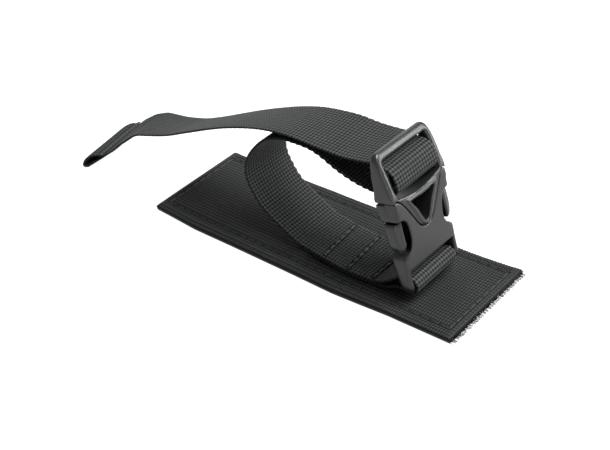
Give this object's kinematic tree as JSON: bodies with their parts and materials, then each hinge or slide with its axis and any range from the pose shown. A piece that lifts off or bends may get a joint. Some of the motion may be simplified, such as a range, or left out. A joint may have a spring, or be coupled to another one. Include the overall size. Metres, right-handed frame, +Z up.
{
  "type": "buckle strap tourniquet",
  "caption": "Webbing pad backed with hook tape, with a sewn strap that closes in a loop through a side-release buckle and a ladder lock.",
  "frame": {"origin": "middle of the pad's underside, on the hook tape's flat face", "axes": "+X along the pad towards the buckle end, +Y across the pad, +Z up out of the pad"},
  "size_m": [0.2052, 0.0508, 0.0642],
  "materials": {
    "pad_webbing": "ribbed weave",
    "strap_webbing": "basket weave",
    "hook_tape": "hooked pile",
    "thread": "twisted thread",
    "buckle": "satin moulded"
  },
  "bodies": {
    "pad": {"pad_webbing": "pad_webbing", "hook_tape": "hook_tape", "pad_edge_seam": "thread", "strap_under_layer": "strap_webbing", "strap_top_layer": "strap_webbing", "buckle_web_fold": "strap_webbing", "cross_seam_1": "thread", "cross_seam_2": "thread", "cross_seam_3": "thread", "strap_loop_lower": "strap_webbing"},
    "socket": {"buckle_socket": "buckle"},
    "plug": {"buckle_plug": "buckle", "ladder_wrap": "strap_webbing", "strap_loop_upper": "strap_webbing"},
    "near_prong": {"prong_near": "buckle"},
    "far_prong": {"prong_far": "buckle"},
    "tail": {"strap_tail": "strap_webbing", "tail_hem": "strap_webbing", "hem_seam": "thread"}
  },
  "joints": [
    {"name": "buckle_swing", "type": "hinge", "parent": "pad", "child": "socket", "pos_m": [0.0518, -0.0024, 0.0095], "axis": [0, 1, 0], "range_deg": [0, 25], "deforming": ["strap_loop_lower"]},
    {"name": "plug_release", "type": "slide", "parent": "socket", "child": "plug", "axis": [-0.2638, 0.0175, 0.9644], "range_m": [0, 0.022], "deforming": ["strap_loop_upper", "prong_near", "prong_far"]},
    {"name": "near_prong_squeeze", "type": "hinge", "parent": "plug", "child": "near_prong", "pos_m": [0.04293, -0.01422, 0.04192], "axis": [0.9646, 0, 0.2639], "range_deg": [0, 5], "stiffness_Nm_per_rad": 0.05},
    {"name": "far_prong_squeeze", "type": "hinge", "parent": "plug", "child": "far_prong", "pos_m": [0.04305, 0.01058, 0.0415], "axis": [-0.9646, 0, -0.2639], "range_deg": [0, 5], "stiffness_Nm_per_rad": 0.05},
    {"name": "tail_lift", "type": "hinge", "parent": "plug", "child": "tail", "pos_m": [0.03739, -0.00145, 0.06216], "axis": [0, 1, 0], "range_deg": [0, 60]}
  ],
  "couplings": [
    {"joint": "far_prong_squeeze", "follows": "near_prong_squeeze", "ratio": 1}
  ]
}
